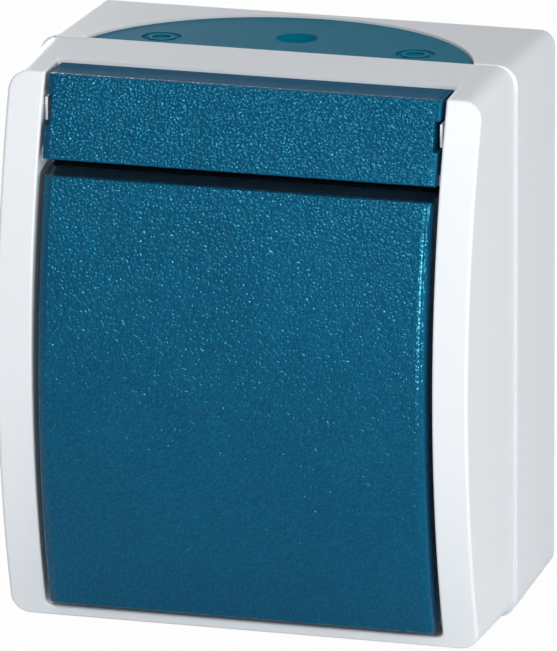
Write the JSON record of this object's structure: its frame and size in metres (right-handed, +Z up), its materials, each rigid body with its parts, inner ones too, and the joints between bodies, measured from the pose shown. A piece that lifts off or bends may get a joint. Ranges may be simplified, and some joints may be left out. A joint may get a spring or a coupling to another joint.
{
  "type": "surface-mounted weatherproof light switch",
  "caption": "Surface-mounted weatherproof rocker switch with an arched front, side rails, a strip above the rocker and a half-moon cable entry in the top.",
  "frame": {"origin": "middle of the wall face", "axes": "+X to the right seen from the front, +Y into the wall, +Z up; the rocker faces -Y"},
  "size_m": [0.068, 0.047, 0.0786],
  "materials": {
    "case_plastic": "fine satin",
    "blue_plastic": "satin, grained front",
    "rocker_plastic": "grained with smooth sides",
    "seal_rubber": "matt",
    "mechanism_plastic": "matt",
    "toggle_plastic": "satin",
    "screw_steel": "zinc plated",
    "spring_steel": "bright wire",
    "copper": "satin copper",
    "contact_silver": "dull silver",
    "terminal_brass": "satin brass"
  },
  "bodies": {
    "housing": {"rear_box": "case_plastic", "cable_entry_insert": "blue_plastic", "rim_gasket": "seal_rubber", "front_cover": "case_plastic", "name_strip": "blue_plastic", "splash_seal": "seal_rubber", "cover_screws": "screw_steel", "insert_base": "mechanism_plastic", "insert_cap": "mechanism_plastic", "insert_screws": "screw_steel", "fixed_contact_tips": "contact_silver", "output_terminal_lower": "terminal_brass", "output_terminal_upper": "terminal_brass", "common_terminal": "terminal_brass", "terminal_screws": "screw_steel", "terminal_clamps": "screw_steel", "earth_terminal": "terminal_brass", "earth_terminal_screws": "screw_steel"},
    "rocker_assembly": {"rocker": "rocker_plastic", "toggle": "toggle_plastic", "plunger": "toggle_plastic", "plunger_spring": "spring_steel"},
    "contact_lever": {"moving_contact": "copper", "moving_contact_tips": "contact_silver"}
  },
  "joints": [
    {"name": "rocker_pivot", "type": "hinge", "parent": "housing", "child": "rocker_assembly", "pos_m": [0, -0.0355, -0.006], "axis": [1, 0, 0], "range_deg": [0, 5]},
    {"name": "contact_pivot", "type": "hinge", "parent": "housing", "child": "contact_lever", "pos_m": [0, -0.0139, -0.006], "axis": [1, 0, 0], "range_deg": [-10, 0]}
  ],
  "couplings": [
    {"joint": "contact_pivot", "follows": "rocker_pivot", "ratio": -2}
  ]
}
